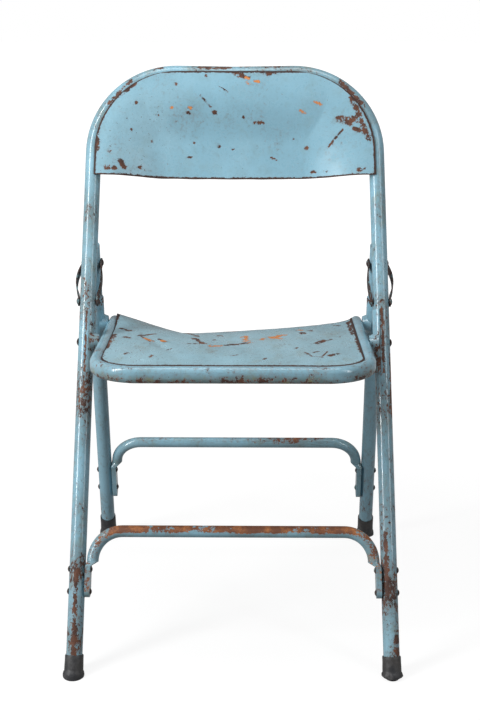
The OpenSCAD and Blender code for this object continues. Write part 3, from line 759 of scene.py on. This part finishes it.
SEAT_DARK = seat_marks([
    (-135, 14, -118, 31, 3.5), (-152, 4, -147, 0, 6), (-105, 2, -96, -16, 5),
    (-74, 132, -52, 60, 8), (-62, -24, -54, -21, 6), (-58, 34, -43, -16, 8),
    (-23, 76, -20, 66, 7), (-9, -22, 21, -5, 9), (62, -32, 65, -27, 5),
    (97, 74, 100, 62, 7), (109, 88, 113, 82, 5), (147, 110, 153, 104, 5),
    (116, -17, 126, 1, 7), (129, -100, 138, -92, 7), (168, 120, 170, 20, 7),
    (171, 20, 172, -80, 5), (-2, -102, 5, -95, 4), (-88, -66, -84, -60, 4),
    (-164, 60, -150, 44, 5), (-144, -96, -141, -90, 4), (108, -78, 113, -72, 4),
    (96, -72, 104, -102, 2.5), (104, -102, 118, -108, 2), (132, 2, 136, 8, 4),
    (-172, -60, -170, 20, 6), (-20, 132, 0, 134, 7), (40, -118, 44, -110, 4),
    (-110, -112, -107, -104, 4), (-134, 18, -124, 28, 3), (-124, 28, -112, 36, 3),
    (-134, 18, -116, -17, 2.4), (118, -103, 126, -75, 2), (84, -50, 87, -44, 4),
    (-30, 20, -28, 26, 4),
])
SEAT_BRIGHT = seat_marks([
    (-123, 0, -116, -8, 7), (-31, -34, -20, -27, 8), (15, 56, 17, 10, 11),
    (39, 22, 42, 36, 7), (53, 40, 67, 58, 13), (-100, -8, -98, -12, 5),
    (60, 36, 66, 28, 6), (94, 104, 97, 98, 6), (22, -6, 26, -4, 5),
])
# Rust up each front leg: height in metres and amount
LEFT_LEG_RUST = [(0.0, 0.12), (0.03, 0.14), (0.125, 0.16), (0.15, 0.12), (0.23, 0.10),
                 (0.30, 0.10), (0.37, 0.16), (0.46, 0.16), (0.50, 0.06), (0.62, 0.04),
                 (0.70, 0.06), (0.80, 0.05)]
RIGHT_LEG_RUST = [(0.0, 0.14), (0.03, 0.22), (0.06, 0.12), (0.10, 0.18), (0.19, 0.17),
                  (0.22, 0.10), (0.32, 0.10), (0.36, 0.15), (0.43, 0.16), (0.46, 0.14),
                  (0.60, 0.12), (0.80, 0.05)]
REAR_LEG_RUST = [(0.0, 0.1), (0.10, 0.12), (0.20, 0.04), (0.42, 0.04), (0.45, 0.12),
                 (0.60, 0.10)]
LEG_STREAKS = leg_marks(IN_FRONT, [
    (-1, 140, 70, 2, 4, 5), (-1, 66, 24, 0, -4, 6), (1, 190, 108, -25, -20, 5),
    (1, 58, 32, 40, 45, 9), (1, 430, 350, 66, 72, 6),
])
SLEEVE_SEAM = leg_marks(IN_FRONT, [
    (-1, 494, 408, 0, 0, 2.6), (1, 494, 408, 0, 0, 3.0),
    (-1, 495, 495, 0, -90, 3), (1, 495, 495, 0, -90, 3),
])
HOOP_DARK = [(IN_FRONT @ Vector((x0, y0, s0)) * MM, IN_FRONT @ Vector((x1, y1, s1)) * MM, reach)
             for x0, y0, s0, x1, y1, s1, reach in [
                 (-50, -9, 843, -8, -9, 843, 5), (8, -7, 846, 20, -7, 846, 5),
                 (-118, -8, 842, -104, -8, 842, 4), (44, -8, 845, 62, -8, 845, 5),
                 (-180, -9, 790, -150, -9, 822, 5), (150, -9, 822, 180, -9, 790, 5)]]
REAR_SLEEVE_TOP = leg_marks(IN_REAR, [(-1, 492, 490, 0, -80, 6), (1, 492, 490, 0, -80, 6)])

# ---- Materials ----

frame_paint = painted("frame_paint", chips=0.46, grime_and_shade=0.8, scratches=0.5, grain=(1.5, 1.5, 0.8),
                      wear=leg_wear(LEFT_LEG_RUST, RIGHT_LEG_RUST,
                                    LEG_STREAKS + SLEEVE_SEAM + HOOP_DARK))
rear_paint = painted("rear_paint", chips=0.3, grime_and_shade=0.3, scratches=0.4, grain=(1, 1, 0.5),
                     wear=leg_wear(REAR_LEG_RUST, REAR_LEG_RUST, REAR_SLEEVE_TOP))
rim_paint = painted("rim_paint", chips=0.44, grime_and_shade=0.45, scratches=0.4, wear=rim_wear)
bracket_paint = painted("bracket_paint", chips=0.4, grime_and_shade=0.7, grain=(1, 1, 0.6),
                        wear=leg_wear(LEFT_LEG_RUST, RIGHT_LEG_RUST, SLEEVE_SEAM))
panel_paint = painted("panel_paint", chips=0.24, grime_and_shade=0.22, scratches=0.55,
                      wear=sheet_wear((1, 1, 1)), dull=0.12)
# the seat sheet is painted in a paler, lit copy of the blue: painted light
pan_paint = painted("pan_paint", chips=0.3, grime_and_shade=0.4, scratches=0.7,
                    wear=sheet_wear((1, 0.35, 1)), grain=(1, 0.4, 1), paint=BLUE_LIT_SEAT,
                    dull=0.12)
rusted_paint = painted("rusted_paint", chips=0.45, grime_and_shade=0.9, fresh=0.62, wear=top_wear(0.85))
rear_bar_paint = painted("rear_bar_paint", chips=0.3, grime_and_shade=0.8, fresh=0.5, wear=top_wear(0.3))


def make_worn_steel():
    """Bare steel of straps and rivets, brown with old rust and with scraps of blue paint."""
    material, tree, shader, coordinates = new_material("worn_steel")
    place = coordinates["Object"]
    rusted = place_group(tree, RUST, Place=place, Fresh=0.2)
    polish = between(tree, noise_at(tree, place, 150, 4, 0.7), 0.5, 0.72)
    colour = blend_colour(tree, polish, rusted["Color"], BARE_STEEL)
    scraps = between(tree, noise_at(tree, place, 110, 5, 0.7), 0.55, 0.6)
    feed(tree, shader.inputs["Base Color"], blend_colour(tree, scraps, colour, BLUE_GRIME))
    shine = calc(tree, "MULTIPLY", polish, calc(tree, "SUBTRACT", 1.0, scraps))
    feed(tree, shader.inputs["Metallic"], calc(tree, "MULTIPLY", shine, 0.7))
    feed(tree, shader.inputs["Roughness"], between(tree, shine, 0, 1, 0.78, 0.4))
    add_relief(tree, shader, rusted["Grain"], strength=0.5, depth=0.0005)
    return material


def make_rubber():
    """Old rubber: dull dark grey, scuffed pale where it drags, with grit in the scuffs."""
    material, tree, shader, coordinates = new_material("rubber")
    place = coordinates["Object"]
    scuff = between(tree, noise_at(tree, place, 120, 5, 0.7), 0.5, 0.75)
    dust = between(tree, noise_at(tree, place, 30, 3, 0.6), 0.45, 0.75)
    colour = blend_colour(tree, scuff, paint_chip(40, 41, 44), paint_chip(78, 80, 84))
    colour = blend_colour(tree, calc(tree, "MULTIPLY", dust, 0.35), colour,
                          paint_chip(104, 96, 86))
    feed(tree, shader.inputs["Base Color"], colour)
    feed(tree, shader.inputs["Roughness"], between(tree, scuff, 0, 1, 0.5, 0.75))
    grain = noise_at(tree, place, 900, 3, 0.6)
    add_relief(tree, shader, calc(tree, "ADD", grain, scuff), strength=0.3, depth=0.0004)
    return material


def make_plug_rubber():
    """The hard black core that has worked out of the front right foot."""
    material, tree, shader, coordinates = new_material("plug")
    place = coordinates["Object"]
    grit = between(tree, noise_at(tree, place, 260, 4, 0.7), 0.5, 0.72)
    feed(tree, shader.inputs["Base Color"],
         blend_colour(tree, grit, paint_chip(24, 24, 26), paint_chip(70, 62, 54)))
    feed(tree, shader.inputs["Roughness"], between(tree, grit, 0, 1, 0.45, 0.8))
    add_relief(tree, shader, grit, strength=0.4, depth=0.0004)
    return material


worn_steel = make_worn_steel()
rubber = make_rubber()

FINISHES = {
    "front_frame": frame_paint,
    "rear_leg_left": rear_paint, "rear_leg_right": rear_paint,
    "front_crossbar": rusted_paint, "rear_crossbar": rear_bar_paint,
    "seat_rim": rim_paint,
    "front_bracket_left": bracket_paint, "front_bracket_right": bracket_paint,
    "rear_bracket_left": rear_paint, "rear_bracket_right": rear_paint,
    "foot_plug": make_plug_rubber(),
}
for node_name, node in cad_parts.items():
    node.data.materials.clear()
    node.data.materials.append(FINISHES.get(node_name, worn_steel))

panel = make_back_panel(panel_paint)
record_marks(panel, "worn", PANEL_DARK)
record_marks(panel, "bright", PANEL_BRIGHT)
pan = make_seat_pan(pan_paint)
record_marks(pan, "worn", SEAT_DARK)
record_marks(pan, "bright", SEAT_BRIGHT)
make_cap("front_cap_left_moulded", IN_FRONT, -1, FRONT_CAP_H, 0, 1.0, rubber, "frame",
         "front_cap_left")
make_cap("front_cap_right_moulded", IN_FRONT, 1, FRONT_CAP_H, PLUG_SHOW, 2.2, rubber, "frame",
         "front_cap_right")
make_cap("rear_cap_left_moulded", IN_REAR, -1, REAR_CAP_H, 0, 0.7, rubber, "rear_legs",
         "rear_cap_left")
make_cap("rear_cap_right_moulded", IN_REAR, 1, REAR_CAP_H, 0, 0.7, rubber, "rear_legs",
         "rear_cap_right")


# ---- Floor, light and camera ----

FLOOR_HALF = 12
FLOOR_GREY = 0.15
FLOOR_WHITE_NEAR, FLOOR_WHITE_FAR = 0.88, 1.1  # its own glow; near the chair lamps add to it
WORLD_LIGHT = 0.1

# Each lamp's name, place, target, width and height, and power in watts
LAMPS = (
    ("key_left", (-1.5, -1.0, 1.3), (0, 0, 0.5), (0.3, 1.9), 42),
    ("fill_right", (1.6, -1.3, 1.2), (0, 0, 0.5), (0.25, 1.7), 12),
    ("top", (0, -0.2, 2.3), (0, 0, 0.4), (1.5, 0.8), 15),
)

CAMERA_PLACE = (0.0263, -1.8804, 0.959)
CAMERA_DOWN = 11.82                            # degrees below level
CAMERA_TURN = 0.57                             # degrees to the left
CAMERA_LENS = 67.55
CAMERA_SENSOR = 36
CAMERA_SHIFT = -0.1806


def white_surroundings(tree, least=0.0):
    """How white the surroundings are: white to the camera, paler to gloss, least to the rest."""
    rays = add_node(tree, "ShaderNodeLightPath").outputs
    return greatest(tree, rays["Is Camera Ray"],
                    calc(tree, "MULTIPLY", rays["Is Glossy Ray"], GLOSSY_SHARE), least)


def make_floor():
    bm = bmesh.new()
    bmesh.ops.create_grid(bm, x_segments=1, y_segments=1, size=FLOOR_HALF)
    mesh = bpy.data.meshes.new("floor")
    bm.to_mesh(mesh)
    bm.free()
    floor = bpy.data.objects.new("floor", mesh)
    bpy.context.collection.objects.link(floor)
    material = bpy.data.materials.new("floor_white")
    material.use_nodes = True
    tree = material.node_tree
    shader = tree.nodes["Principled BSDF"]
    shader.inputs["Base Color"].default_value = (FLOOR_GREY, FLOOR_GREY, FLOOR_GREY, 1)
    shader.inputs["Roughness"].default_value = 0.9
    shader.inputs["Emission Color"].default_value = (1, 1, 1, 1)
    away = calc_vector(tree, "LENGTH", add_node(tree, "ShaderNodeTexCoord").outputs["Object"],
                       result="Value")
    glow = between(tree, away, 0.5, 1.8, FLOOR_WHITE_NEAR, FLOOR_WHITE_FAR)
    feed(tree, shader.inputs["Emission Strength"],
         calc(tree, "MULTIPLY", white_surroundings(tree), glow))
    mesh.materials.append(material)


def make_world():
    world = bpy.data.worlds.new("studio")
    bpy.context.scene.world = world
    world.use_nodes = True
    tree = world.node_tree
    background = tree.nodes["Background"]
    background.inputs["Color"].default_value = (1, 1, 1, 1)
    feed(tree, background.inputs["Strength"], white_surroundings(tree, WORLD_LIGHT))


def add_softbox(name, place, target, size, power):
    lamp = bpy.data.lights.new(name, "AREA")
    lamp.shape = "RECTANGLE"
    lamp.size, lamp.size_y = size
    lamp.energy = power
    holder = bpy.data.objects.new(name, lamp)
    holder.location = place
    holder.rotation_euler = (Vector(target) - Vector(place)).to_track_quat("-Z", "Y").to_euler()
    bpy.context.collection.objects.link(holder)


def add_camera():
    lens = bpy.data.cameras.new("camera")
    lens.lens = CAMERA_LENS
    lens.sensor_width = CAMERA_SENSOR
    lens.shift_y = CAMERA_SHIFT
    camera = bpy.data.objects.new("camera", lens)
    camera.location = CAMERA_PLACE
    camera.rotation_euler = (math.radians(90 - CAMERA_DOWN), 0, math.radians(CAMERA_TURN))
    bpy.context.collection.objects.link(camera)
    bpy.context.scene.camera = camera


make_floor()
make_world()
for lamp in LAMPS:
    add_softbox(*lamp)
add_camera()
bpy.context.scene.view_settings.view_transform = "Standard"
